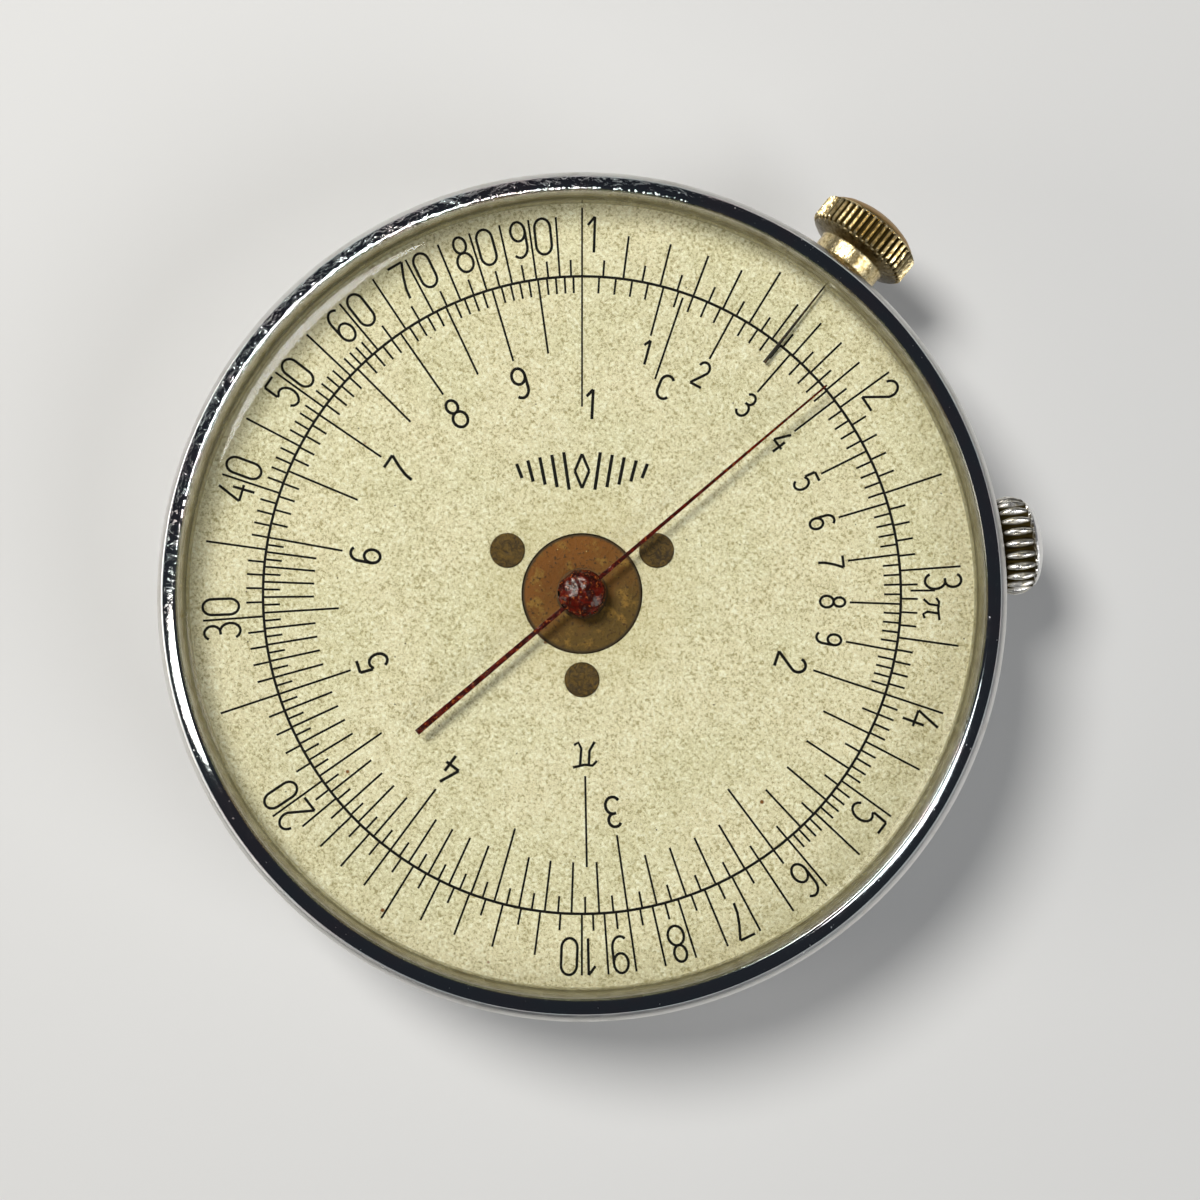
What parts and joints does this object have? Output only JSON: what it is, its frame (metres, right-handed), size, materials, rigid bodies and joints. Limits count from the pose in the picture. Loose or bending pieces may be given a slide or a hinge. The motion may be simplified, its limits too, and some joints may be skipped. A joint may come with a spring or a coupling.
{
  "type": "pocket circular slide rule",
  "caption": "Watch-cased pocket circular slide rule: a crown turns the log-scale dial under a fixed index, a second crown turns the hands on both faces.",
  "frame": {"origin": "centre of the flat outer face of the rear crystal, on the axis of the dial and hands", "axes": "+Z out through the front dial along the axis of the dial and hands, +Y out along the dial crown (12 o'clock)"},
  "size_m": [0.0498, 0.0542, 0.0148],
  "materials": {
    "case_metal": "polished plating, fine scratches",
    "plate_brass": "satin",
    "aged_brass": "dull, brown with age",
    "crystal": "clear, polished",
    "gasket_rubber": "matt",
    "dial_face": "cream, fine grain, matt",
    "index_black": "black lacquer",
    "hand_red": "dark red lacquer, gloss",
    "steel": "polished",
    "dial_crown_brass": "worn, knurled",
    "hand_crown_nickel": "worn nickel, fluted"
  },
  "bodies": {
    "case": {"mid_case": "case_metal", "main_plate": "plate_brass", "centre_tube": "aged_brass", "centre_tube_nut": "plate_brass", "front_bezel": "case_metal", "rear_bezel": "case_metal", "front_crystal": "crystal", "rear_crystal": "crystal", "front_gasket": "gasket_rubber", "rear_gasket": "gasket_rubber", "fixed_index": "index_black", "rear_dial": "dial_face", "rear_bush": "plate_brass", "rear_dial_screw_1": "steel", "rear_dial_screw_2": "steel", "rear_dial_screw_3": "steel", "plate_screw_1": "steel", "plate_screw_2": "steel", "plate_screw_3": "steel", "dial_stem_tube": "plate_brass", "hand_stem_tube": "plate_brass", "dial_spring_washer": "steel"},
    "dial": {"front_dial": "dial_face", "dial_wheel": "aged_brass", "dial_rivet_1": "aged_brass", "dial_rivet_2": "aged_brass", "dial_rivet_3": "aged_brass"},
    "hands": {"hand_arbor": "steel", "hand_wheel": "plate_brass", "front_hand": "hand_red", "front_hand_hub": "hand_red", "rear_hand": "hand_red", "rear_hand_hub": "hand_red", "hand_spring_washer": "steel"},
    "dial_knob": {"dial_crown": "dial_crown_brass", "dial_stem": "steel", "dial_pinion": "steel", "dial_crown_seal": "gasket_rubber"},
    "hand_knob": {"hand_crown": "hand_crown_nickel", "hand_stem": "steel", "hand_pinion": "steel", "hand_crown_seal": "gasket_rubber"}
  },
  "joints": [
    {"name": "dial_spin", "type": "hinge", "parent": "case", "child": "dial", "pos_m": [0, 0, 0.0074], "axis": [0, 0, 1], "continuous": true},
    {"name": "hand_spin", "type": "hinge", "parent": "case", "child": "hands", "pos_m": [0, 0, 0.0074], "axis": [0, 0, 1], "continuous": true},
    {"name": "dial_knob_spin", "type": "hinge", "parent": "case", "child": "dial_knob", "pos_m": [0, 0.0265, 0.0074], "axis": [0, 1, 0], "continuous": true},
    {"name": "hand_knob_spin", "type": "hinge", "parent": "case", "child": "hand_knob", "pos_m": [0.01874, 0.01874, 0.0074], "axis": [0.7071, 0.7071, 0], "continuous": true}
  ],
  "couplings": [
    {"joint": "dial_knob_spin", "follows": "dial_spin", "ratio": -6.6667},
    {"joint": "hand_knob_spin", "follows": "hand_spin", "ratio": 5}
  ]
}
